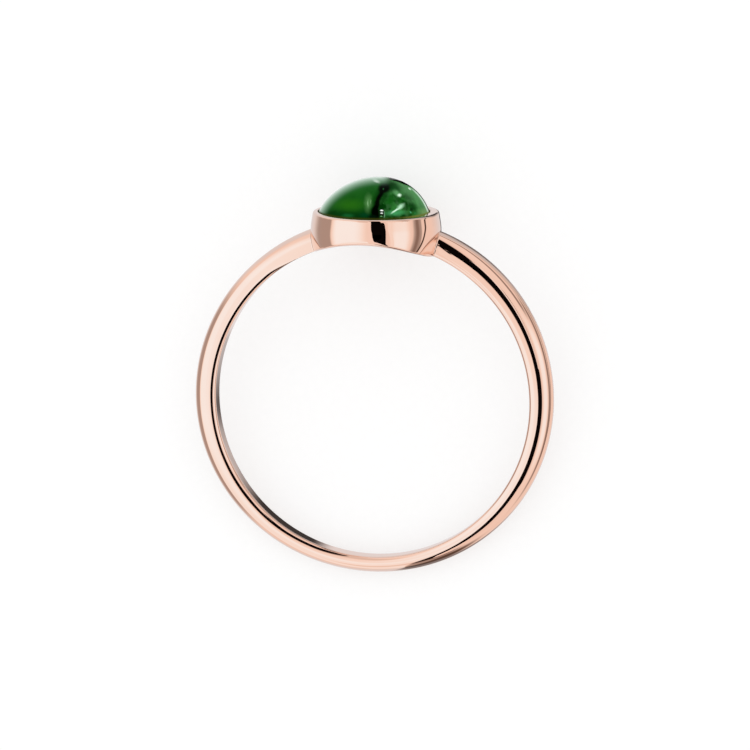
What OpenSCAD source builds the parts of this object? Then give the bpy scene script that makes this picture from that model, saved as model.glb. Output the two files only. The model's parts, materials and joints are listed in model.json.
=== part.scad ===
// A slender rose gold ring with a round bezel that holds one domed green tourmaline.
// The ring lies on its side, as it rests by itself on a table: the side of the bezel and the far
// end of the shank touch the table at z = 0, the stone points along +Y, and the origin is on the
// table below the middle of the ring. Sizes are in millimetres.

/* [Finger hole] */
// Diameter of the finger hole
finger_d = 17.2; // [16:0.1:19]

/* [Shank] */
// Width of the shank along the finger
shank_w = 1.32; // [1.2:0.02:1.6]
// Thickness of the shank at its base, opposite the stone
base_thick = 0.97; // [0.9:0.01:1.05]
// Thickness that the shank reaches under the stone
top_thick = 1.3; // [1.2:0.01:1.5]
// How much thicker than its middle size the shank is on its right, and thinner on its left
side_extra = 0.05; // [0:0.01:0.08]
// Radius of the domed outside of the section
dome_r = 0.68; // [0.67:0.01:0.8]
// Radius of the rounded inner edges
edge_r = 0.38; // [0.3:0.01:0.4]

/* [Bezel] */
// Diameter of the bezel at its belly
bezel_d = 7.03; // [6.96:0.01:7.3]
// Height of the belly above the finger hole
belly_h = 0.55; // [0.45:0.05:0.6]
// Radius of the curve of the wall, seen from the side
belly_r = 3.9; // [3.4:0.1:4.5]
// Height of the rim above the finger hole
rim_h = 1.55; // [1.5:0.01:1.65]
// Radius of the outer edge of the rim
rim_r = 0.12; // [0.08:0.01:0.16]
// Radius of the lower edge at the front and back of the bezel
foot_r = 0.4; // [0.3:0.05:0.45]
// Distance of the bezel from the middle of the finger hole, to the right
bezel_shift = 0.135; // [0.1:0.005:0.17]

/* [Stone] */
// Diameter of the stone at its girdle
stone_d = 6.3; // [6.24:0.02:6.32]
// Height of the stone
stone_h = 2.86; // [2.8:0.01:2.95]
// Radius of the dome of the stone
cabochon_r = 3.3; // [3.22:0.01:3.4]
// Distance of the stone from the middle of the finger hole, to the right
stone_shift = 0.05; // [0.03:0.01:0.08]
// Height of the flat back of the stone above the finger hole
seat_h = 0.6; // [0.55:0.01:0.65]
// Clearance between the stone and the metal
stone_gap = 0.03; // [0.02:0.01:0.05]

/* [Hidden] */
$fn = 180;

rose_gold = [0.91, 0.68, 0.58];
tourmaline_green = [0.08, 0.38, 0.17];

// A circle that rounds an edge is this much too large, so that it meets the walls at an angle
crossing = 1.02;

// The ring's own frame: X across the ring, Y from the finger's axis to the stone, Z along the finger
finger_r = finger_d / 2;
half_w = shank_w / 2;
outer_r = finger_r + (base_thick + top_thick) / 2;
outer_shift = (top_thick - base_thick) / 2;
flat_half = half_w - edge_r;

bezel_r = bezel_d / 2;
belly_y = finger_r + belly_h;
belly_mid = bezel_r - belly_r;
rim_y = finger_r + rim_h;
rim_out = belly_mid + sqrt(pow(belly_r, 2) - pow(rim_y - belly_y, 2));
rim_inset = 0.9 * rim_r;
foot_mid = bezel_r - foot_r;
foot_y = finger_r + foot_r;
seat_y = finger_r + seat_h;
cabochon_mid_y = seat_y + stone_h - cabochon_r;
bezel_low_y = finger_r - 1.4;

// Seen from the side, the bezel touches the table where the curve of its wall meets its round foot
foot_cut_r = crossing * foot_r;
foot_step = [foot_mid - belly_mid, foot_y - belly_y];
foot_way = foot_step / norm(foot_step);
to_chord = (pow(belly_r, 2) - pow(foot_cut_r, 2)) / (2 * norm(foot_step)) + norm(foot_step) / 2;
half_chord = sqrt(pow(belly_r, 2) - pow(to_chord, 2));
touch_z = belly_mid + to_chord * foot_way.x + half_chord * foot_way.y;
touch_y = belly_y + to_chord * foot_way.y - half_chord * foot_way.x;

// Rest on the table: that place and the side of the shank's far end touch it together
far_mid = outer_r - dome_r - outer_shift;
far_edge = far_mid + sqrt(pow(dome_r, 2) - pow(half_w, 2));
lie_tilt = atan2(touch_z - half_w, touch_y + far_edge);
table_drop = far_edge * sin(lie_tilt) + half_w * cos(lie_tilt);
stone_end = cabochon_mid_y * cos(lie_tilt) + cabochon_r;
far_end = far_mid * cos(lie_tilt) + dome_r;
middle_y = (stone_end - far_end) / 2;

// What is left of a square corner when its round edge is kept: the cutter of a rounded edge
module edge_cutter(radius, reach) {
    difference() {
        translate([-reach, 0]) square([radius + reach, radius + reach]);
        translate([radius, 0]) circle(r = radius * crossing);
    }
}

// The section's outside, from well inside the finger hole to the top of the dome
module shank_profile() {
    intersection() {
        translate([finger_r - 1, -half_w]) square([outer_r - finger_r + 2, shank_w]);
        union() {
            translate([outer_r - dome_r, 0]) circle(r = dome_r);
            translate([finger_r - 1, -1]) square([outer_r - dome_r - finger_r + 1.1, 2]);
        }
    }
}

// Rounds the two inner edges of the shank
module shank_edges() {
    for (side = [0, 1])
        mirror([0, 0, side])
            rotate_extrude()
                translate([finger_r, flat_half]) edge_cutter(edge_r, 0.5);
}

module shank() {
    difference() {
        translate([side_extra, outer_shift, 0]) rotate_extrude() shank_profile();
        shank_edges();
    }
}

// Half of the bezel's section: the barrel-shaped wall and the rounded rim
module bezel_profile() {
    intersection() {
        translate([belly_mid, belly_y]) circle(r = belly_r);
        union() {
            translate([0, bezel_low_y]) square([rim_out - rim_inset, rim_y - bezel_low_y]);
            translate([0, bezel_low_y]) square([bezel_r + 1, rim_y - rim_inset - bezel_low_y]);
            translate([rim_out - rim_inset, rim_y - rim_inset]) circle(r = rim_r);
        }
    }
}

module bezel_body() {
    translate([bezel_shift, 0, 0]) rotate([-90, 0, 0]) rotate_extrude() bezel_profile();
}

// Rounds the lower edges at the front and the back of the bezel
module bezel_edges() {
    for (side = [0, 1])
        mirror([0, 0, side])
            rotate_extrude()
                translate([finger_r, foot_mid]) edge_cutter(foot_r, 0.5);
}

// A domed stone with a straight girdle and a flat back, grown by a clearance
module stone_shape(grow) {
    translate([stone_shift, 0, 0]) rotate([-90, 0, 0])
        intersection() {
            translate([0, 0, cabochon_mid_y]) sphere(r = cabochon_r + grow);
            translate([0, 0, seat_y - grow]) cylinder(r = stone_d / 2 + grow, h = stone_h + 1);
        }
}

// Lays the ring on the table and brings its middle over the origin
module on_table() {
    translate([-side_extra, -middle_y, table_drop]) rotate([lie_tilt, 0, 0]) children();
}

module setting() {
    color(rose_gold)
        on_table()
            difference() {
                union() {
                    shank();
                    bezel_body();
                }
                translate([0, 0, -bezel_r - 1]) cylinder(r = finger_r, h = bezel_d + 2);
                bezel_edges();
                stone_shape(stone_gap);
            }
}

module cabochon() {
    color(tourmaline_green) on_table() stone_shape(0);
}

setting();
cabochon();
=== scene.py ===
import json
import math

import bmesh
import bpy
import numpy as np
from mathutils import Matrix, Vector


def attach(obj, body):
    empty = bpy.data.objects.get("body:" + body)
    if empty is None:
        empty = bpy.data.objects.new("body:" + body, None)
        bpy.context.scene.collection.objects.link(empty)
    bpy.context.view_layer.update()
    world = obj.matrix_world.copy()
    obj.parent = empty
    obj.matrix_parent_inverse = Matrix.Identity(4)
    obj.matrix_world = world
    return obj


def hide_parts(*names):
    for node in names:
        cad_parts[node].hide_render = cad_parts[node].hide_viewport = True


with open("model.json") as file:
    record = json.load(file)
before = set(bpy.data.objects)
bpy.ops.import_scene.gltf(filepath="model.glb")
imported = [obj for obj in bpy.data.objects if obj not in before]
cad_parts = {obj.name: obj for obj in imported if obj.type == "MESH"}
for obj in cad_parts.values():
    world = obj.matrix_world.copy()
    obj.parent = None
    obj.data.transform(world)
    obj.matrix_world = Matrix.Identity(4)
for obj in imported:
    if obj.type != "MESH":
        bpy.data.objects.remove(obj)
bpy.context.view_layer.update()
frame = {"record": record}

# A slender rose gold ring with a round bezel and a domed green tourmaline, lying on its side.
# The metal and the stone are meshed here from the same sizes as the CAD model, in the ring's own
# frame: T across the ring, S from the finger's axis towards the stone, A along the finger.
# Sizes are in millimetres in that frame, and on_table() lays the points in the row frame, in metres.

record = frame["record"]
bore = record["mounts"][0]

# A millimetre in metres
MM = 0.001

# Finger hole
FINGER_R = bore["dims"]["r_mm"]

# Shank: its outside is a circle that leans to the upper right, slightly oval and a little lobed.
# Angles are round the finger's axis, from the right, and the stone is at 90 degrees.
OUTER_R = 9.751
LEAN = 0.168
LEAN_TOWARDS = math.radians(70)
OVAL = 0.096
OVAL_TOWARDS = math.radians(18)
LOBE = 0.032
LOBE_TOWARDS = math.radians(74)
# Its section: half of its width, and how much of its thickness the domed outside takes
HALF_WIDTH = 0.66
DOME_SHARE = 0.595
DOME_SHARE_SWING = 0.05
DOME_SHARE_TURN = math.radians(10)
# Its round inner edges
INNER_EDGE_DEPTH = 0.37
INNER_EDGE_SWING = 0.09
INNER_EDGE_TOWARDS = math.radians(190)
INNER_EDGE_WIDTH = 0.25
# On the upper left they are narrower and deeper
NARROW_TOWARDS = math.radians(145)
NARROW_FOCUS = 5
NARROW_SHARE = 0.4
DEEPER = 0.07
# Between the bezel and that place they grow from nearly sharp to their full size
SHARP_UNTIL = math.radians(117)
SHARP_FADE = math.radians(13)
SHARP_SHARE = 0.08

# Bezel: its wall is a wide curve at the belly and straight above it, leaning inwards
BEZEL_T = 0.135
BELLY_R = 3.515
BELLY_S = FINGER_R + 0.55
WALL_CURVE_R = 3.3
WALL_LEAN = math.radians(9)
RIM_S = FINGER_R + 1.62
RIM_EDGE_R = 0.11
LIP_EDGE_R = 0.05
FOOT_R = 0.26
FOOT_R_AT_SHANK = 0.04
FOOT_LIFT = 0.225
FOOT_LIFT_LENGTH = 1.2
SOLDER_R = 0.05

# Stone: an oval dome whose top leans to the right
STONE_T = -0.01
STONE_R = 3.17
STONE_HEIGHT = 2.86
STONE_LEAN = 0.29
SEAT_S = FINGER_R + 0.6
GIRDLE_EDGE_R = 0.06
STONE_GAP = 0.03

# Mesh grid of the setting, round the finger's axis in degrees, away from it, and along it. Each
# stretch is where it ends and the most that a cell may measure there, and the first is the start.
GRID_ANGLES = ((-90, 0), (62, 1.3), (72, 0.25), (107, 0.37), (117, 0.25), (270, 1.3))
GRID_RADII = ((FINGER_R - 0.1, 0), (FINGER_R + 1.5, 0.045), (FINGER_R + 2.4, 0.07))
GRID_AXIALS = ((-3.65, 0), (-0.72, 0.07), (0.72, 0.04), (3.65, 0.07))

# Mesh of the stone
STONE_SEGMENTS = 192
DOME_RINGS = 72
GIRDLE_EDGE_RINGS = 8
BACK_RINGS = 12

# Camera: where it stands as seen from the ring, and the picture that it takes
IMAGE_SIDE_PX = 750
CAMERA_AZIMUTH = math.radians(11.19)
CAMERA_ELEVATION = math.radians(9.9)
CAMERA_DISTANCE_MM = 450
PIXELS_PER_MM = 18.55
RING_CENTRE_PX = (373.56, 398.36)
SENSOR_MM = 36


# The row frame

AXIS_A = Vector(bore["axis"]).normalized()
AXIS_T = Vector((1, 0, 0))
AXIS_S = AXIS_A.cross(AXIS_T)
CENTRE = Vector(bore["pos_m"])
RING_AXES = np.array([AXIS_T, AXIS_S, AXIS_A])


def on_table(points):
    """Points (T, S, A) in millimetres as points of the row frame in metres."""
    return np.asarray(CENTRE) + MM * (points @ RING_AXES)


def picture_axes():
    """The picture's right, its up, and the way towards the camera, in the row frame."""
    towards = (
        AXIS_T * math.sin(CAMERA_AZIMUTH) * math.cos(CAMERA_ELEVATION)
        + AXIS_S * math.sin(CAMERA_ELEVATION)
        + AXIS_A * math.cos(CAMERA_AZIMUTH) * math.cos(CAMERA_ELEVATION)
    )
    right = AXIS_S.cross(towards).normalized()
    return right, towards.cross(right), towards


# Solids as distances: negative inside, positive outside, exact near the surface


def rounded_and(a, b, radius):
    """What two solids share, with the edge between them rounded."""
    corner = np.hypot(np.maximum(a + radius, 0), np.maximum(b + radius, 0))
    return np.minimum(-radius, np.maximum(a, b)) + corner


def rounded_or(a, b, radius):
    """Both solids, with a fillet between them."""
    return -rounded_and(-a, -b, radius)


def ellipse_distance(x, y, half_x, half_y):
    """Distance from an ellipse round the origin."""
    level = np.hypot(x / half_x, y / half_y) + 1e-9
    slope = np.hypot(x / half_x**2, y / half_y**2) + 1e-9
    return (level - 1) * level / slope


def ease(way):
    """A share that goes from 0 to 1 with a soft start and end."""
    return way**2 * (3 - 2 * way)


def shank_outer_radius(angle):
    """How far the top of the shank lies from the finger's axis."""
    lean = LEAN * np.cos(angle - LEAN_TOWARDS)
    oval = OVAL * np.cos(2 * (angle - OVAL_TOWARDS))
    return OUTER_R + lean + oval + LOBE * np.cos(3 * (angle - LOBE_TOWARDS))


def shank_distance(t, s, a):
    """The section: half an ellipse outside, narrow flat sides, and a flat inside with round edges."""
    angle = np.arctan2(s, t)
    thick = shank_outer_radius(angle) - FINGER_R
    swing = DOME_SHARE_SWING * np.cos(angle) * (1 - np.cos(2 * (angle - DOME_SHARE_TURN)))
    dome = (DOME_SHARE + swing) * thick
    deep = INNER_EDGE_DEPTH + INNER_EDGE_SWING * np.sin(angle - INNER_EDGE_TOWARDS)
    narrow = np.exp(NARROW_FOCUS * (np.cos(angle - NARROW_TOWARDS) - 1))
    fade = np.where(t < 0, np.clip((angle - SHARP_UNTIL) / SHARP_FADE, 0, 1), 1)
    fade = np.where(s < 0, 1, fade)
    fade = SHARP_SHARE + (1 - SHARP_SHARE) * ease(fade)
    deep = np.minimum(deep + DEEPER * narrow, thick - dome) * fade
    edge_width = INNER_EDGE_WIDTH * (1 - NARROW_SHARE * narrow) * fade
    above = np.hypot(t, s) - FINGER_R
    outwards = np.maximum(above - (thick - dome), 0)
    inwards = np.maximum(deep - above, 0)
    edge = np.maximum(np.abs(a) - (HALF_WIDTH - edge_width), 0)
    outside = ellipse_distance(outwards, a, dome, HALF_WIDTH)
    inside = ellipse_distance(inwards, edge, deep, edge_width)
    return np.where(inwards > 0, inside, outside)


def stone_middle(height):
    """How far across the ring the middle of the dome lies, at a height above the stone's back."""
    return STONE_T + STONE_LEAN * (height / STONE_HEIGHT) ** 2


def stone_distance(t, s, a):
    """An oval dome with a flat back."""
    height = np.maximum(s - SEAT_S, 0)
    from_axis = np.hypot(t - stone_middle(height), a)
    dome = ellipse_distance(height, from_axis, STONE_HEIGHT, STONE_R)
    return rounded_and(dome, SEAT_S - s, GIRDLE_EDGE_R)


def wall_distance(from_axis, s):
    """The bezel's wall: a circle round the belly, and its tangent above."""
    out = from_axis - (BELLY_R - WALL_CURVE_R)
    above = s - BELLY_S
    along = above * math.cos(WALL_LEAN) - out * math.sin(WALL_LEAN)
    straight = out * math.cos(WALL_LEAN) + above * math.sin(WALL_LEAN)
    return np.where(along > 0, straight, np.hypot(out, above)) - WALL_CURVE_R


def bezel_distance(t, s, a):
    """The wall with a round rim, and a foot that rises over the finger hole at the front and back."""
    from_axis = np.hypot(t - BEZEL_T, a)
    barrel = rounded_and(wall_distance(from_axis, s), s - RIM_S, RIM_EDGE_R)
    towards_front = (np.abs(a) / np.maximum(from_axis, 1e-6)) ** 2
    foot = FOOT_R_AT_SHANK + (FOOT_R - FOOT_R_AT_SHANK) * towards_front
    way = np.clip((np.abs(a) - HALF_WIDTH) / FOOT_LIFT_LENGTH, 0, 1)
    lift = FOOT_LIFT * towards_front * ease(way)
    return rounded_and(barrel, FINGER_R + lift - np.hypot(t, s), foot)


def setting_distance(t, s, a):
    """Shank and bezel with the solder between them, less the finger hole and the stone's seat."""
    metal = rounded_or(bezel_distance(t, s, a), shank_distance(t, s, a), SOLDER_R)
    metal = np.maximum(metal, FINGER_R - np.hypot(t, s))
    return rounded_and(metal, STONE_GAP - stone_distance(t, s, a), LIP_EDGE_R)


# Meshes of those solids


def gradient(distance, points, step=1e-4):
    """The slope of a distance at each point, which is the normal on its surface."""
    slopes = []
    for axis in np.eye(3) * step:
        ahead = distance(*(points + axis).T)
        behind = distance(*(points - axis).T)
        slopes.append((ahead - behind) / (2 * step))
    return np.stack(slopes, axis=1)


def spread(*stretches):
    """Grid positions along one axis. Each stretch is its end and the most a cell may measure there."""
    places = [stretches[0][0]]
    for end, cell in stretches[1:]:
        count = max(1, math.ceil((end - places[-1]) / cell))
        places.extend(np.linspace(places[-1], end, count + 1)[1:])
    return np.array(places)


def onto_surface(distance, points, steps=6, least_size=0.25):
    """Moves points along the slope of the distance until they lie on the surface. At an edge the
    slope can come out small, so its square counts as least_size or more."""
    for _ in range(steps):
        slope = gradient(distance, points)
        size = np.maximum((slope**2).sum(axis=1), least_size)
        points = points - slope * (distance(*points.T) / size)[:, None]
    return points


def surface_net(distance, angles, radii, axials):
    """Points and quads of the surface where distance is zero. The grid goes round the finger's axis:
    angles runs once round, from one end to the same place, and each cell that the surface crosses
    gets one point, which is then moved onto the surface."""
    turn = angles[:-1]
    grid = np.meshgrid(turn, radii, axials, indexing="ij")
    value = distance(grid[1] * np.cos(grid[0]), grid[1] * np.sin(grid[0]), grid[2])
    inside = value < 0
    cells = (len(turn), len(radii) - 1, len(axials) - 1)
    count = np.zeros(cells, int)
    total = np.zeros(cells + (3,))
    crossings = []
    for axis in range(3):
        after = np.roll(value, -1, axis)
        start = np.argwhere((value < 0) != (after < 0))
        start = start[(start[:, 1] > 0) & (start[:, 2] > 0)]
        if axis > 0:
            start = start[start[:, axis] < value.shape[axis] - 1]
        at = tuple(start.T)
        part = value[at] / (value[at] - after[at])
        sides = [n for n in range(3) if n != axis]
        around = []
        for back in ((1, 1), (0, 1), (0, 0), (1, 0)):
            cell = start.copy()
            place = np.zeros((len(start), 3))
            place[:, axis] = part
            for side, step in zip(sides, back):
                cell[:, side] -= step
                place[:, side] = step
            cell[:, 0] %= cells[0]
            where = tuple(cell.T)
            np.add.at(count, where, 1)
            np.add.at(total, where, place)
            around.append(cell)
        # The quad round a crossing faces the side where the distance is positive
        reverse = inside[at] != (axis == 1)
        crossings.append((around, reverse))
    used = np.argwhere(count > 0)
    index = np.full(cells, -1)
    index[tuple(used.T)] = np.arange(len(used))
    part = total[count > 0] / count[count > 0][:, None]
    place = []
    for axis, marks in enumerate((angles, radii, axials)):
        low = marks[used[:, axis]]
        place.append(low + part[:, axis] * (marks[used[:, axis] + 1] - low))
    points = np.stack([place[1] * np.cos(place[0]), place[1] * np.sin(place[0]), place[2]], axis=1)
    quads = []
    for around, reverse in crossings:
        quad = np.stack([index[tuple(cell.T)] for cell in around], axis=1)
        quad[reverse] = quad[reverse][:, ::-1]
        quads.append(quad)
    return onto_surface(distance, points), np.concatenate(quads)


def add_object(name, mesh):
    """A new object with this mesh, in the scene."""
    made = bpy.data.objects.new(name, mesh)
    bpy.context.scene.collection.objects.link(made)
    return made


def add_piece(name, points, faces, normals, material, node):
    """A mesh in the row frame, with its own normals, that stands for a CAD node."""
    mesh = bpy.data.meshes.new(name)
    mesh.from_pydata(on_table(points), [], faces)
    mesh.validate()
    mesh.shade_smooth()
    turned = normals @ RING_AXES
    turned /= np.linalg.norm(turned, axis=1)[:, None]
    mesh.normals_split_custom_set_from_vertices(turned)
    mesh.materials.append(material)
    piece = add_object(name, mesh)
    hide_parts(node)
    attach(piece, "root")
    return piece


def make_setting(material):
    """The shank and the bezel, soldered into one piece."""
    degree = math.pi / 180
    angles = spread(*[(end * degree, cell * degree) for end, cell in GRID_ANGLES])
    points, quads = surface_net(setting_distance, angles, spread(*GRID_RADII), spread(*GRID_AXIALS))
    normals = gradient(setting_distance, points)
    return add_piece("rose_gold_setting", points, quads.tolist(), normals, material, "setting")


def stone_profile():
    """Half of the stone's outline: radius and height, from beside its top to beside its back's middle."""
    lowest = math.acos(GIRDLE_EDGE_R / STONE_HEIGHT)
    profile = []
    for n in range(1, DOME_RINGS + 1):
        lean = lowest * n / DOME_RINGS
        profile.append((STONE_R * math.sin(lean), STONE_HEIGHT * math.cos(lean)))
    for n in range(1, GIRDLE_EDGE_RINGS + 1):
        lean = math.pi / 2 * n / GIRDLE_EDGE_RINGS
        edge = GIRDLE_EDGE_R * (1 - math.cos(lean))
        profile.append((STONE_R - edge, GIRDLE_EDGE_R * (1 - math.sin(lean))))
    for n in range(1, BACK_RINGS):
        profile.append(((STONE_R - GIRDLE_EDGE_R) * (1 - n / BACK_RINGS), 0))
    return profile


def make_cabochon(material):
    """The stone, turned from its profile."""
    profile = stone_profile()
    turn = np.arange(STONE_SEGMENTS) * 2 * math.pi / STONE_SEGMENTS
    points = [(stone_middle(STONE_HEIGHT), SEAT_S + STONE_HEIGHT, 0)]
    for radius, height in profile:
        for angle in turn:
            across = stone_middle(height) + radius * math.cos(angle)
            points.append((across, SEAT_S + height, radius * math.sin(angle)))
    points.append((STONE_T, SEAT_S, 0))
    points = np.array(points)
    normals = gradient(stone_distance, points)
    faces = []
    for n in range(STONE_SEGMENTS):
        after = (n + 1) % STONE_SEGMENTS
        faces.append((0, 1 + after, 1 + n))
        for ring in range(len(profile) - 1):
            low = 1 + ring * STONE_SEGMENTS
            high = low + STONE_SEGMENTS
            faces.append((low + n, low + after, high + after, high + n))
        low = 1 + (len(profile) - 1) * STONE_SEGMENTS
        faces.append((low + n, low + after, len(points) - 1))
    return add_piece("green_cabochon", points, faces, normals, material, "cabochon")


# Materials


def new_material(name):
    """A material, its node tree and its shader."""
    material = bpy.data.materials.new(name)
    material.use_nodes = True
    return material, material.node_tree, material.node_tree.nodes["Principled BSDF"]


def node_adder(tree):
    """A function that adds a node. Its inputs are values, sockets to link, or None to leave alone."""

    def add(kind, *inputs, **settings):
        node = tree.nodes.new(kind)
        for key, value in settings.items():
            setattr(node, key, value)
        for socket, value in zip(node.inputs, inputs):
            if isinstance(value, bpy.types.NodeSocket):
                tree.links.new(value, socket)
            elif value is not None:
                socket.default_value = value
        return node

    return add


def maths_adder(add):
    """A function that adds a maths node and gives its result."""

    def maths(operation, *inputs):
        return add("ShaderNodeMath", *inputs, operation=operation).outputs[0]

    return maths


def smooth_adder(add):
    """A function that gives a soft change: from low to high while a value goes from start to end."""

    def smooth(value, start, end, low=0.0, high=1.0):
        node = add("ShaderNodeMapRange", value, start, end, low, high, interpolation_type="SMOOTHSTEP")
        return node.outputs[0]

    return smooth


# Most values of a noise lie between these
NOISE_RANGE = (0.3, 0.7)

# Rose gold: noise scales are for each metre, and the waves' height is in metres
GOLD_COLOURS = ((0.92, 0.69, 0.59), (0.94, 0.73, 0.63))
GOLD_CLOUD_SCALE = 700.0
GOLD_GRAIN_SCALE = 9000.0
GOLD_ROUGHNESS = (0.01, 0.035)
GOLD_WAVE_SCALE = 900.0
GOLD_WAVE_STRENGTH = 0.5
GOLD_WAVE_HEIGHT = 0.000006


def rose_gold_material():
    """Mirror polish, with the slight waves and the fine variation of a hand-finished surface."""
    material, tree, shader = new_material("polished_rose_gold")
    add = node_adder(tree)
    place = add("ShaderNodeTexCoord").outputs["Object"]
    cloudy = add("ShaderNodeTexNoise", place, None, GOLD_CLOUD_SCALE, 3.0).outputs[0]
    fine = add("ShaderNodeTexNoise", place, None, GOLD_GRAIN_SCALE, 2.0).outputs[0]
    waves = add("ShaderNodeTexNoise", place, None, GOLD_WAVE_SCALE, 1.0).outputs[0]
    colour = add("ShaderNodeMix", data_type="RGBA")
    tree.links.new(cloudy, colour.inputs["Factor"])
    for socket, shade in zip((colour.inputs[6], colour.inputs[7]), GOLD_COLOURS):
        socket.default_value = (*shade, 1)
    tree.links.new(colour.outputs[2], shader.inputs["Base Color"])
    shader.inputs["Metallic"].default_value = 1
    rough = add("ShaderNodeMapRange", fine, *NOISE_RANGE, *GOLD_ROUGHNESS)
    tree.links.new(rough.outputs[0], shader.inputs["Roughness"])
    bump = add("ShaderNodeBump", GOLD_WAVE_STRENGTH, GOLD_WAVE_HEIGHT)
    tree.links.new(waves, bump.inputs["Height"])
    tree.links.new(bump.outputs[0], shader.inputs["Normal"])
    return material


# Where the stone's inner pattern is measured from
PATTERN_PLACE = (0.15, SEAT_S - 0.37, 0)

# Marks in the stone: place right of and above that place in the picture, half length,
# half width, turn in degrees, softness, colour and strength
STONE_GROUND = (
    # The left half: olive in its middle, teal and darker at its foot
    (-1.42, 1.65, 0.90, 0.40, 0, 0.95, (0.016, 0.115, 0.004), 0.8),
    (-1.52, 1.06, 0.38, 0.14, 0, 0.9, (0.006, 0.105, 0.022), 0.8),
    (-2.38, 1.22, 0.32, 0.16, 0, 0.9, (0.000, 0.028, 0.001), 0.8),
    (-0.62, 1.08, 0.36, 0.16, 0, 0.9, (0.000, 0.040, 0.010), 0.8),
    # Pale streaks left of the band
    (-0.42, 1.72, 0.25, 0.55, 0, 0.95, (0.085, 0.230, 0.070), 0.75),
    (-0.45, 1.70, 0.035, 0.24, 0, 0.8, (0.220, 0.420, 0.200), 0.8),
    (-0.29, 1.80, 0.030, 0.16, -4, 0.8, (0.220, 0.420, 0.200), 0.7),
)
# Marks in the stone's colour: patches, speckles, and painted highlights
STONE_MARKS = (
    # Darker patches of the right half, and teal ground at its foot
    (0.88, 2.68, 0.62, 0.34, -28, 0.7, (0.000, 0.036, 0.003), 0.9),
    (0.72, 1.90, 0.34, 0.36, 0, 0.9, (0.002, 0.070, 0.003), 0.85),
    (1.28, 1.93, 0.40, 0.14, -15, 0.9, (0.002, 0.060, 0.003), 0.6),
    (1.98, 1.50, 0.24, 0.36, 25, 0.9, (0.000, 0.036, 0.002), 0.9),
    (2.57, 1.26, 0.34, 0.28, 0, 0.9, (0.170, 0.340, 0.120), 0.7),
    (1.87, 1.40, 0.12, 0.15, 0, 0.9, (0.000, 0.008, 0.001), 0.8),
    (1.83, 1.25, 0.045, 0.07, 30, 0.7, (0.080, 0.380, 0.200), 0.7),
    (2.05, 1.22, 0.03, 0.06, -20, 0.7, (0.020, 0.250, 0.080), 0.7),
    (1.02, 1.20, 0.60, 0.17, 4, 0.9, (0.055, 0.340, 0.120), 0.72),
    (0.43, 1.12, 0.04, 0.22, 0, 0.7, (0.250, 0.520, 0.320), 0.7),
    # Speckles beside the band
    (0.16, 1.74, 0.05, 0.04, 0, 0.7, (0.050, 0.260, 0.050), 0.7),
    (0.38, 1.73, 0.05, 0.05, 0, 0.7, (0.050, 0.260, 0.050), 0.7),
    (0.27, 1.64, 0.10, 0.03, 20, 0.7, (0.000, 0.020, 0.001), 0.7),
    # Painted highlights: a feather like a comet, a bright spot with its halo, and a glint near the edge
    (1.30, 1.56, 0.27, 0.14, 40, 0.9, (0.420, 0.720, 0.480), 0.95),
    (1.03, 1.34, 0.34, 0.055, 35, 0.8, (0.600, 0.900, 0.680), 0.95),
    (1.10, 2.27, 0.28, 0.17, -40, 0.95, (0.110, 0.330, 0.120), 0.8),
    (1.24, 2.16, 0.12, 0.10, 0, 0.85, (0.700, 0.950, 0.740), 0.95),
    (1.79, 2.54, 0.12, 0.05, -40, 0.7, (0.700, 0.900, 0.740), 0.85),
)
# Painted dark reflection and painted highlights laid over the band
STONE_PAINTED_REFLECTIONS_ON_BAND = (
    # The ends of the band, its painted dark reflection
    (0.42, 2.56, 0.36, 0.33, 10, 0.45, (0.000, 0.001, 0.000), 1.0),
    (0.40, 2.51, 0.05, 0.06, 0, 0.9, (0.020, 0.120, 0.030), 0.7),
    (-0.18, 0.97, 0.34, 0.16, 0, 0.7, (0.000, 0.006, 0.002), 0.95),
    # A painted highlight: a pale crest left of it
    (-0.04, 3.00, 0.28, 0.12, -30, 0.90, (0.900, 0.980, 0.920), 0.95),
    # A painted reflection at the foot of the band: three short bright lines on a dark ground
    (0.30, 1.20, 0.15, 0.28, 0, 0.5, (0.002, 0.010, 0.003), 0.9),
    (0.296, 1.335, 0.105, 0.048, 0, 0.5, (0.900, 0.960, 0.920), 0.95),
    (0.290, 1.180, 0.075, 0.042, 0, 0.5, (0.780, 0.880, 0.800), 0.95),
    (0.280, 1.030, 0.060, 0.030, 0, 0.5, (0.160, 0.450, 0.160), 0.9),
)
STONE_DEEP = (0.000, 0.032, 0.003)
STONE_BODY = (0.007, 0.086, 0.006)
STONE_UPPER = (0.014, 0.110, 0.018)
STONE_PATCH_DARK = (0.000, 0.036, 0.001)
STONE_PATCH_LIGHT = (0.020, 0.150, 0.022)
STONE_PATCH_PALE = (0.100, 0.290, 0.110)
# Painted dark reflection: the colour of the band and of the dark line at the right edge
STONE_PAINTED_DARK = (0.000, 0.001, 0.000)
# A darker zone round the band, the soft edge of its painted dark reflection
STONE_SHADE = (0.000, 0.024, 0.001)
# Painted reflection at the edge: a paler green, then milky white
STONE_EDGE_REFLECTION_TINT = (0.055, 0.225, 0.090)
STONE_EDGE_REFLECTION = (0.86, 0.93, 0.89)
# Painted reflection: the pale line at the right edge
STONE_PALE_REFLECTION_LINE = (0.66, 0.82, 0.70)
STONE_FOOT = (0.040, 0.050, 0.004)
STONE_FOOT_RIGHT = (0.18, 0.21, 0.040)

# Where the stone's colours change into each other: where each soft change starts and ends, in mm or
# as a share, and how strong it is there if that isn't 0 and 1
DEEP_TO_BODY = (0.95, 1.75)
BODY_TO_UPPER = (2.0, 3.1, 0.0, 0.8)
BODY_CLOUDS = (0.3, 0.75, 0.0, 0.35)
LEFT_TO_RIGHT_HALF = (-0.05, 0.20)
PATCHES = (0.38, 0.66)
FEATHERS = (0.40, 0.72)
FEATHER_SHARE = 0.22
PALE_OUTSIDE = (2.4, 3.2, 0.0, 0.8)
MARKS_FADE = (0.0, 0.4)
MARKS_SHAKE = 0.12
MARKS_OUTSIDE = 0.3
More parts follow.
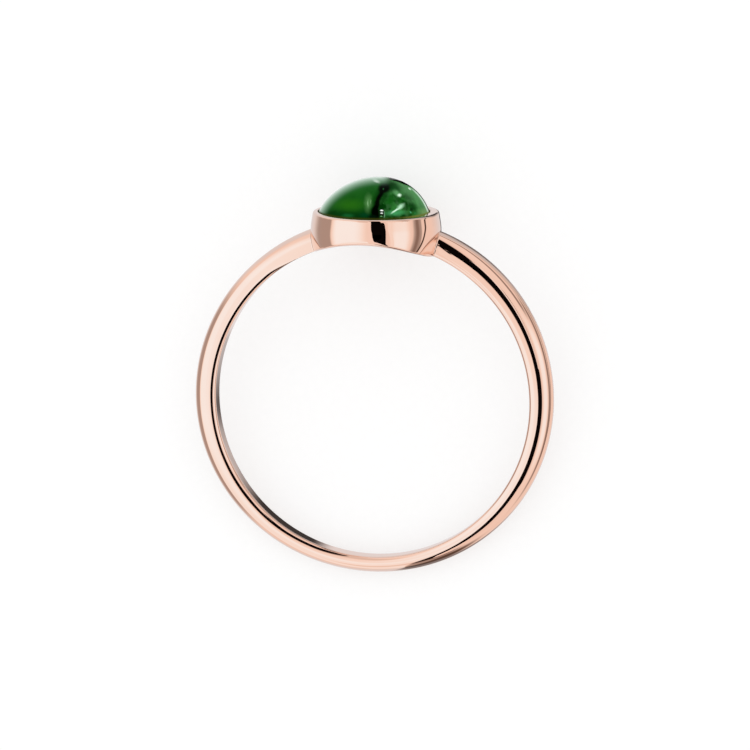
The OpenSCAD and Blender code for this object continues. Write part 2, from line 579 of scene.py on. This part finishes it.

# The dark band, a painted reflection of the dark gap between the lights seen through the stone: where it
# starts to bend, how it bends on its way up, and its place at the foot
BAND_BENDS_FROM = 1.37
BAND_BEND = 0.364
BAND_BEND_POWER = 1.43
BAND_FOOT = -0.055
BAND_WANDER = 0.2
BAND_HALF_WIDTH = (1.0, 1.9, 0.21, 0.13)
BAND_EDGE = (0.07, -0.07)
BAND_TOP = (2.75, 2.5)
# The darker zone round the band, part of its painted dark reflection
SHADE_MIDDLE = 0.07
SHADE_EDGE = (0.53, 0.21, 0.0, 0.75)
SHADE_TOP = (3.0, 2.7)

# Painted reflections at the clear edge of the dome, by how much the surface faces the eye: a dark and a
# pale line on its right, and a milky sheen elsewhere
DARK_LINE_WIDTH = (1.4, 2.0, 0.28, 0.15)
DARK_LINE_EDGE = (0.03, -0.05)
DARK_LINE_RIGHT_OF = (0.55, 0.80)
PALE_LINE_START = (0.00, 0.05)
PALE_LINE_END = (0.15, 0.09)
PALE_LINE_RIGHT_OF = (1.7, 2.2, 0.0, 0.8)
EDGE_REFLECTION_LEFT_OF = (0.80, 0.20)
EDGE_REFLECTION_TINT_FACING = (0.42, 0.78, 0.0, 0.9)
EDGE_REFLECTION_FROM = 0.46
EDGE_REFLECTION_TO = 0.95
EDGE_REFLECTION_POWER = 1.8

# Painted reflection of the gold that shows through at the foot, above and below the rim, and how it grows
# to the right
FOOT_TOP = 0.10
FOOT_FULL = -0.02
FOOT_TO_RIGHT = (1.0, 2.2)
STONE_ROUGHNESS = (0.01, 0.03)
STONE_IOR = 1.07

# Noise in the stone: its scale for each millimetre, and its detail
BODY_NOISE = (1.4, 3.0)
BAND_NOISE = (2.6, 3.0)
PATCH_NOISE = (1.7, 4.0)
FEATHER_NOISE = (3.2, 2.0)
FEATHER_STRETCH = (1.2, 0.6, 1.0)
SHAKE_NOISE = (3.5, 2.0)
ROUGHNESS_NOISE = (40.0, 2.0)


def tourmaline_material():
    """Clear green stone: even in its left half, feathered in its right, with a dark band between that is
    a painted reflection of the dark gap between the lights, and with painted highlights and reflections
    at its edge and front.
    """
    material, tree, shader = new_material("green_tourmaline")
    add = node_adder(tree)
    maths = maths_adder(add)
    smooth = smooth_adder(add)

    def mixed(amount, below, above):
        node = add("ShaderNodeMix", data_type="RGBA")
        sockets = (node.inputs[0], node.inputs[6], node.inputs[7])
        for socket, value in zip(sockets, (amount, below, above)):
            if isinstance(value, bpy.types.NodeSocket):
                tree.links.new(value, socket)
            else:
                socket.default_value = value if isinstance(value, float) else (*value, 1)
        return node.outputs[2]

    place = add("ShaderNodeTexCoord").outputs["Object"]
    middle = on_table(np.array(PATTERN_PLACE))
    inside = add("ShaderNodeVectorMath", place, tuple(middle), operation="SUBTRACT").outputs[0]

    def along(axis):
        axis = tuple(axis * (1 / MM))
        return add("ShaderNodeVectorMath", inside, axis, operation="DOT_PRODUCT").outputs["Value"]

    right, up, towards = [along(axis) for axis in picture_axes()]
    point = add("ShaderNodeCombineXYZ", right, up, towards).outputs[0]

    def noise(scale, detail, stretch=(1, 1, 1)):
        stretched = add("ShaderNodeVectorMath", point, stretch, operation="MULTIPLY").outputs[0]
        return add("ShaderNodeTexNoise", stretched, None, scale, detail).outputs[0]

    # The plain left half
    body = mixed(smooth(up, *DEEP_TO_BODY), STONE_DEEP, STONE_BODY)
    body = mixed(smooth(up, *BODY_TO_UPPER), body, STONE_UPPER)
    body = mixed(smooth(noise(*BODY_NOISE), *BODY_CLOUDS), body, STONE_DEEP)

    # Where the band of painted dark reflection runs: its middle bends to the right on its way up
    above_bend = maths("MAXIMUM", maths("SUBTRACT", up, BAND_BENDS_FROM), 0.0)
    bend = maths("MULTIPLY_ADD", maths("POWER", above_bend, BAND_BEND_POWER), BAND_BEND, BAND_FOOT)
    wander = maths("MULTIPLY_ADD", noise(*BAND_NOISE), BAND_WANDER, -BAND_WANDER / 2)
    beside = maths("ADD", maths("SUBTRACT", right, bend), wander)

    # The feathered right half
    patches = smooth(noise(*PATCH_NOISE), *PATCHES)
    feather = smooth(noise(*FEATHER_NOISE, FEATHER_STRETCH), *FEATHERS)
    patched = mixed(patches, STONE_PATCH_DARK, STONE_PATCH_LIGHT)
    patched = mixed(maths("MULTIPLY", feather, FEATHER_SHARE), patched, STONE_PATCH_PALE)
    from_axis = add("ShaderNodeVectorMath", point, (1, 1, 0), operation="MULTIPLY").outputs[0]
    reach = add("ShaderNodeVectorMath", from_axis, operation="LENGTH").outputs["Value"]
    patched = mixed(smooth(reach, *PALE_OUTSIDE), patched, STONE_PATCH_PALE)
    colour = mixed(smooth(beside, *LEFT_TO_RIGHT_HALF), body, patched)

    # The marks lie on the front of the stone, and noise shakes their outlines
    front = smooth(towards, *MARKS_FADE)
    shaken = add("ShaderNodeTexNoise", point, None, *SHAKE_NOISE).outputs["Color"]
    shake = (MARKS_SHAKE, MARKS_SHAKE, 0)
    unshift = (-MARKS_SHAKE / 2, -MARKS_SHAKE / 2, 0)
    shaken = add("ShaderNodeVectorMath", shaken, shake, unshift, operation="MULTIPLY_ADD").outputs[0]
    flat = add("ShaderNodeVectorMath", from_axis, shaken, operation="ADD").outputs[0]

    def marked(below, mark):
        across, above, half_length, half_width, turn, softness, shade, strength = mark
        node = add("ShaderNodeMapping", flat, vector_type="TEXTURE")
        node.inputs["Location"].default_value = (across, above, 0)
        node.inputs["Rotation"].default_value = (0, 0, math.radians(turn))
        node.inputs["Scale"].default_value = (half_length, half_width, 1)
        away = add("ShaderNodeVectorMath", node.outputs[0], operation="LENGTH").outputs["Value"]
        amount = smooth(away, 1.0 + softness * MARKS_OUTSIDE, 1.0 - softness, 0.0, strength)
        return mixed(maths("MULTIPLY", amount, front), below, shade)

    # The left half's ground and streaks, the right half's patches and speckles, and painted highlights
    for mark in STONE_GROUND + STONE_MARKS:
        colour = marked(colour, mark)
    # A darker zone round the band, the soft edge of its painted dark reflection
    shade = smooth(maths("ABSOLUTE", maths("SUBTRACT", beside, SHADE_MIDDLE)), *SHADE_EDGE)
    colour = mixed(maths("MULTIPLY", shade, smooth(up, *SHADE_TOP)), colour, STONE_SHADE)
    # The band: a painted dark reflection of the gap between the lights
    half = smooth(up, *BAND_HALF_WIDTH)
    band = smooth(maths("SUBTRACT", maths("ABSOLUTE", beside), half), *BAND_EDGE)
    colour = mixed(maths("MULTIPLY", band, smooth(up, *BAND_TOP)), colour, STONE_PAINTED_DARK)
    # The band's ends, and painted highlights and reflections over it
    for mark in STONE_PAINTED_REFLECTIONS_ON_BAND:
        colour = marked(colour, mark)

    # Painted reflections along the clear edge on the right of the dome: a pale line and a dark one
    facing = add("ShaderNodeLayerWeight").outputs["Facing"]
    edge = maths("SUBTRACT", 1.0, facing)
    inwards = maths("SUBTRACT", edge, smooth(right, *DARK_LINE_WIDTH))
    line = maths("MULTIPLY", smooth(inwards, *PALE_LINE_START), smooth(inwards, *PALE_LINE_END))
    colour = mixed(maths("MULTIPLY", line, smooth(right, *PALE_LINE_RIGHT_OF)), colour, STONE_PALE_REFLECTION_LINE)
    line = smooth(inwards, *DARK_LINE_EDGE)
    colour = mixed(maths("MULTIPLY", line, smooth(right, *DARK_LINE_RIGHT_OF)), colour, STONE_PAINTED_DARK)

    # Painted reflection: towards its edge it looks paler and milky against the light, all but on the
    # right
    left_side = smooth(right, *EDGE_REFLECTION_LEFT_OF)
    edge_reflection_tint = maths("MULTIPLY", smooth(facing, *EDGE_REFLECTION_TINT_FACING), left_side)
    colour = mixed(edge_reflection_tint, colour, STONE_EDGE_REFLECTION_TINT)
    edge_reflection = add("ShaderNodeMapRange", facing, EDGE_REFLECTION_FROM, EDGE_REFLECTION_TO).outputs[0]
    edge_reflection = maths("POWER", edge_reflection, EDGE_REFLECTION_POWER)
    colour = mixed(maths("MULTIPLY", edge_reflection, left_side), colour, STONE_EDGE_REFLECTION)

    # Painted reflection of the gold that shows through at the foot
    rim = RIM_S - PATTERN_PLACE[1]
    foot = smooth(along(AXIS_S), rim + FOOT_TOP, rim + FOOT_FULL)
    gold = mixed(smooth(right, *FOOT_TO_RIGHT), STONE_FOOT, STONE_FOOT_RIGHT)
    colour = mixed(foot, colour, gold)

    tree.links.new(colour, shader.inputs["Base Color"])
    rough = smooth(noise(*ROUGHNESS_NOISE), *NOISE_RANGE, *STONE_ROUGHNESS)
    tree.links.new(rough, shader.inputs["Roughness"])
    shader.inputs["IOR"].default_value = STONE_IOR
    return material


# Studio: the floor, its light, and the camera

ROOM_LIGHT = 1.2
FLOOR_HALF = 2.0
FLOOR_GRAIN_SCALE = 2500.0
FLOOR_GREYS = (0.335, 0.345)
FLOOR_GLOW = 0.605


def floor_material():
    """A white light table: a matt sheet that glows a little by itself."""
    material, tree, shader = new_material("light_table")
    add = node_adder(tree)
    place = add("ShaderNodeTexCoord").outputs["Object"]
    grain = add("ShaderNodeTexNoise", place, None, FLOOR_GRAIN_SCALE, 3.0).outputs[0]
    colour = add("ShaderNodeMapRange", grain, *NOISE_RANGE, *FLOOR_GREYS).outputs[0]
    tree.links.new(colour, shader.inputs["Base Color"])
    shader.inputs["Roughness"].default_value = 0.8
    shader.inputs["Emission Color"].default_value = (1, 1, 1, 1)
    shader.inputs["Emission Strength"].default_value = FLOOR_GLOW
    return material


def add_floor(material):
    """The floor under the ring, which reflections don't show."""
    mesh = bpy.data.meshes.new("floor")
    corners = [(FLOOR_HALF * x, FLOOR_HALF * y, 0) for x, y in ((-1, -1), (1, -1), (1, 1), (-1, 1))]
    mesh.from_pydata(corners, [], [(0, 1, 2, 3)])
    mesh.materials.append(material)
    floor = add_object("floor", mesh)
    floor.visible_glossy = False
    floor.visible_transmission = False


def add_camera():
    """The camera, aimed so that the ring's middle falls on its place in the picture."""
    right, up, towards = picture_axes()
    place = CENTRE + towards * CAMERA_DISTANCE_MM * MM
    half = IMAGE_SIDE_PX / 2
    aside = (half - RING_CENTRE_PX[0]) / PIXELS_PER_MM
    above = (RING_CENTRE_PX[1] - half) / PIXELS_PER_MM
    target = CENTRE + (right * aside + up * above) * MM
    back = (place - target).normalized()
    side = AXIS_S.cross(back).normalized()
    camera = bpy.data.objects.new("camera", bpy.data.cameras.new("camera"))
    bpy.context.scene.collection.objects.link(camera)
    turned = Matrix((side, back.cross(side), back)).transposed().to_4x4()
    camera.matrix_world = Matrix.Translation(place) @ turned
    camera.data.sensor_width = SENSOR_MM
    camera.data.lens = SENSOR_MM / IMAGE_SIDE_PX * PIXELS_PER_MM * CAMERA_DISTANCE_MM
    camera.data.clip_start = 0.05
    camera.data.clip_end = 10
    bpy.context.scene.camera = camera


# The light tent: a sphere round the ring that only reflections and refractions show. Each card of
# it is placed by its azimuth from the camera, to the right, and its elevation, in degrees: where it
# starts and how soft that edge is, where it ends and how soft that edge is. Then come its brightness
# and how far it leans: degrees of azimuth for each degree of elevation. A card lies over the ones
# before it, and TENT_LEVEL is the brightness where there is none.
TENT_RADIUS = 0.07
TENT_LEVEL = 0.80
TENT_CARDS = (
    # White cards to the left and the right of the lens
    ((-80, 16, -9, 1), (-90, 1, 90, 1), 1.13, 0),
    ((17, 1, 58, 16), (-90, 1, 90, 1), 1.08, 0),
    ((-87, 5, -9, 1), (-90, 1, -22, 24), 0.98, 0),
    # They grow dimmer beside the gap, upwards and downwards
    ((-24, 34, -9, 1), (-10, 16, 90, 1), 0.79, 0),
    ((17, 1, 28, 18), (-90, 1, 90, 1), 0.78, 0),
    ((-87, 5, -9, 1), (34, 32, 90, 1), 0.84, 0),
    ((17, 1, 64, 5), (17, 18, 90, 1), 0.84, 0),
    ((17, 1, 64, 5), (-90, 1, -28, 24), 0.82, 0),
    ((-38, 16, -9, 1), (26, 20, 90, 1), 0.68, 0),
    ((-42, 20, -9, 1), (-62, 8, -48, 8), 0.76, 0),
    # Dark gaps at the sides of the tent
    ((-130, 26, -86, 5), (-44, 12, 22, 16), 0.42, 0),
    ((80, 8, 132, 10), (16, 14, 90, 1), 0.66, 0),
    ((68, 7, 86, 4), (-46, 18, 32, 10), 0.40, 0.1),
    ((73, 4, 80, 5), (-36, 14, 33, 10), 0.26, 0.1),
    ((51, 6, 66, 5), (26, 10, 90, 1), 0.32, 0),
    ((90, 2, 94, 2), (-30, 12, 34, 12), 0.06, 0.42),
    # The lower right, and the back
    ((-10, 8, 24, 10), (-90, 1, -58, 8), 0.40, 0),
    ((10, 16, 176, 8), (-90, 1, -66, 12), 0.40, 0),
    ((24, 24, 172, 14), (-90, 1, -69, 10), 0.12, 0),
    ((132, 14, 176, 8), (-74, 6, -40, 16), 0.26, 0),
    # Dim and dark gaps behind, on the right
    ((120, 14, 168, 6), (12, 14, 60, 14), 0.50, 0),
    ((134, 10, 162, 10), (24, 8, 46, 8), 0.14, 0),
    ((160, 6, 173.5, 4), (-12, 10, 14, 5), 0.05, 0),
    # The gap that the lens looks through: wider at its upper left, narrower at its right ends
    ((-11.5, 3, -5, 2), (16, 8, 66, 6), 0.05, -0.1),
    ((-11, 1.6, 17, 1.6), (-62, 14, 70, 6), 0.0, 0),
    ((9, 3, 18, 1), (21, 4, 90, 1), 0.80, 0),
)
# Behind the ring the tent's light is neutral, and so it is high up at its sides
TENT_BEHIND_NEUTRAL = 0.75
TENT_BEHIND_COLOUR = (0.94, 0.99, 1.05)
TENT_BEHIND_FROM = 128
TENT_BEHIND_SOFTNESS = 44
TENT_SIDE_ELEVATION = 18.0
TENT_SIDE_SHARE = 0.9
# What the tent's brightness looks like: dim parts of it are warm
TENT_COLOURS = (
    (0.0, (0.003, 0.002, 0.002)),
    (0.15, (0.14, 0.09, 0.07)),
    (0.3, (0.31, 0.225, 0.19)),
    (0.4, (0.42, 0.335, 0.297)),
    (0.6, (0.68, 0.56, 0.50)),
    (0.8, (0.93, 0.76, 0.68)),
    (0.9, (0.99, 0.88, 0.82)),
    (1.0, (1.01, 1.00, 0.99)),
    (1.2, (1.03, 1.16, 1.24)),
)


def glowing_material(name):
    """A material without nodes yet, for something that glows and that no light is sampled from."""
    material = bpy.data.materials.new(name)
    material.use_nodes = True
    material.cycles.emission_sampling = "NONE"
    material.node_tree.nodes.clear()
    return material, material.node_tree


def show_in_reflections_only(made):
    """Hides a stage object from everything but reflections and refractions."""
    made.visible_camera = False
    made.visible_diffuse = False
    made.visible_shadow = False


def tent_material():
    """The tent's light: its cards one over the other, and the colour of their brightness."""
    material, tree = glowing_material("light_tent")
    add = node_adder(tree)
    maths = maths_adder(add)
    smooth = smooth_adder(add)

    def along(axis):
        return add("ShaderNodeVectorMath", towards, tuple(axis), operation="DOT_PRODUCT").outputs["Value"]

    def rise(value, middle, width):
        return smooth(value, middle - width / 2, middle + width / 2)

    def between(value, start, start_edge, end, end_edge):
        above = rise(value, start, start_edge)
        past = rise(value, end, end_edge)
        return maths("MULTIPLY", above, maths("SUBTRACT", 1.0, past))

    place = add("ShaderNodeTexCoord").outputs["Object"]
    towards = add("ShaderNodeVectorMath", place, operation="NORMALIZE").outputs[0]
    front = AXIS_T * math.sin(CAMERA_AZIMUTH) + AXIS_A * math.cos(CAMERA_AZIMUTH)
    right = AXIS_T * math.cos(CAMERA_AZIMUTH) - AXIS_A * math.sin(CAMERA_AZIMUTH)
    azimuth = maths("DEGREES", maths("ARCTAN2", along(right), along(front)))
    elevation = maths("DEGREES", maths("ARCSINE", along(AXIS_S)))
    level = None
    for across, upwards, brightness, lean in TENT_CARDS:
        upright = maths("MULTIPLY_ADD", elevation, -lean, azimuth) if lean else azimuth
        mask = maths("MULTIPLY", between(upright, *across), between(elevation, *upwards))
        below = TENT_LEVEL if level is None else level
        level = add("ShaderNodeMapRange", mask, 0.0, 1.0, below, brightness).outputs[0]
    top = TENT_COLOURS[-1][0]
    ramp = add("ShaderNodeValToRGB", maths("DIVIDE", level, top))
    stops = ramp.color_ramp.elements
    stops.remove(stops[1])
    for n, (at, colour) in enumerate(TENT_COLOURS):
        stop = stops.new(at / top) if n else stops[0]
        stop.color = (*colour, 1)
    height = maths("MAXIMUM", maths("SUBTRACT", elevation, TENT_SIDE_ELEVATION), 0.0)
    away = maths("MULTIPLY_ADD", height, TENT_SIDE_SHARE, maths("ABSOLUTE", azimuth))
    behind = rise(away, TENT_BEHIND_FROM, TENT_BEHIND_SOFTNESS)
    behind = maths("MULTIPLY", behind, TENT_BEHIND_NEUTRAL)
    neutral = add("ShaderNodeVectorMath", TENT_BEHIND_COLOUR, operation="SCALE")
    tree.links.new(level, neutral.inputs["Scale"])
    colour = add("ShaderNodeMix", data_type="RGBA")
    tree.links.new(behind, colour.inputs["Factor"])
    tree.links.new(ramp.outputs["Color"], colour.inputs[6])
    tree.links.new(neutral.outputs[0], colour.inputs[7])
    light = add("ShaderNodeEmission", colour.outputs[2], 1.0)
    add("ShaderNodeOutputMaterial", light.outputs[0])
    return material


def add_tent(material):
    """The sphere round the ring."""
    shape = bmesh.new()
    bmesh.ops.create_icosphere(shape, subdivisions=5, radius=TENT_RADIUS)
    mesh = bpy.data.meshes.new("tent")
    shape.to_mesh(mesh)
    shape.free()
    mesh.materials.append(material)
    tent = add_object("tent", mesh)
    tent.location = CENTRE
    show_in_reflections_only(tent)


# Small flat cards inside the tent: name, distance in front of the ring's middle, colour, left side
# and right side. Their corners are places right of and above the ring's middle, in mm, for someone
# who faces it from the camera's azimuth.
SMALL_CARDS = (
    # They narrow the dark line on the right of the shank
    (
        "pale_card", 20, (0.99, 0.88, 0.82),
        ((10.7, 0.8), (9.2, 4.8), (8.3, 8.9), (7.1, 13), (5.5, 16)),
        ((12.0, 0.8), (11.4, 4.8), (10.6, 8.9), (9.4, 13), (8.5, 16)),
    ),
    (
        "lower_card", 20, (0.93, 0.76, 0.68),
        ((9.6, -13.3), (7.9, -15.9), (6.8, -19.2), (4.2, -21.4), (1.8, -23.4), (0.7, -27), (1.6, -37)),
        ((12, -13.3), (13, -15.9), (14, -19.2), (14, -21.4), (14, -23.4), (14, -27), (14, -37)),
    ),
    # It widens that line beside the bezel
    (
        "dark_card", 20.5, (0, 0, 0),
        ((-0.2, 6.5), (-0.7, 7.1), (-1.2, 7.8), (-1.7, 8.6), (-1.7, 10)),
        ((0.4, 6.5), (2.0, 7.1), (2.8, 7.8), (3.2, 8.6), (3.2, 10)),
    ),
    # They shape the dark stripe on the bezel
    (
        "stripe_card_left", 8, (0.96, 0.81, 0.74),
        ((-1.8, 16), (-1.6, 10.6), (-1.6, 10), (-1.6, 9.2),
         (-1.6, 8.4), (-1.6, 8.0), (-1.6, 7.6), (-1.8, 2)),
        ((-1.1, 16), (-0.9, 10.6), (-0.7, 10), (-0.6, 9.2),
         (-0.4, 8.4), (-0.1, 8.0), (0.7, 7.6), (1.8, 2)),
    ),
    (
        "stripe_card_right", 8, (0.93, 0.76, 0.68),
        ((1.5, 11.1), (1.55, 10.95), (1.68, 10.84), (1.88, 10.74), (2.0, 10.52), (2.07, 10.4)),
        ((2.2, 11.1), (2.2, 10.95), (2.2, 10.84), (2.2, 10.74), (2.2, 10.52), (2.1, 10.4)),
    ),
    ("stripe_card_dark", 8.2, (0, 0, 0), ((1.7, 10.4), (1.7, 7.7)), ((2.07, 10.4), (2.07, 7.7))),
    # It darkens the crest of the stone
    ("crest_card", -6, (0, 0, 0), ((1.8, 11.5), (1.8, 16.0)), ((5.6, 11.5), (5.6, 16.0))),
)


def add_card(name, distance, colour, left, right):
    """A small flat card that only reflections show."""
    across = np.array((math.cos(CAMERA_AZIMUTH), 0, -math.sin(CAMERA_AZIMUTH)))
    front = np.array((math.sin(CAMERA_AZIMUTH), 0, math.cos(CAMERA_AZIMUTH)))
    points = []
    for aside, above in left + right:
        points.append(across * aside + np.array((0, above, 0)) + front * distance)
    count = len(left)
    faces = [(n, n + 1, count + n + 1, count + n) for n in range(count - 1)]
    mesh = bpy.data.meshes.new(name)
    mesh.from_pydata(on_table(np.array(points)), [], faces)
    material, tree = glowing_material(name)
    add = node_adder(tree)
    light = add("ShaderNodeEmission", (*colour, 1), 1.0)
    add("ShaderNodeOutputMaterial", light.outputs[0])
    mesh.materials.append(material)
    show_in_reflections_only(add_object(name, mesh))


def white_world():
    """Plain white light for the floor, from all round."""
    world = bpy.data.worlds.new("white_room")
    bpy.context.scene.world = world
    world.use_nodes = True
    world.cycles.sampling_method = "NONE"
    world.node_tree.nodes["Background"].inputs["Color"].default_value = (1.0, 1.0, 1.0, 1)
    world.node_tree.nodes["Background"].inputs["Strength"].default_value = ROOM_LIGHT


def picture_settings():
    """Colours as they are, without a film look."""
    scene = bpy.context.scene
    scene.view_settings.view_transform = "Standard"
    scene.view_settings.look = "None"


add_camera()
add_floor(floor_material())
add_tent(tent_material())
for small_card in SMALL_CARDS:
    add_card(*small_card)
white_world()
picture_settings()
make_setting(rose_gold_material())
make_cabochon(tourmaline_material())
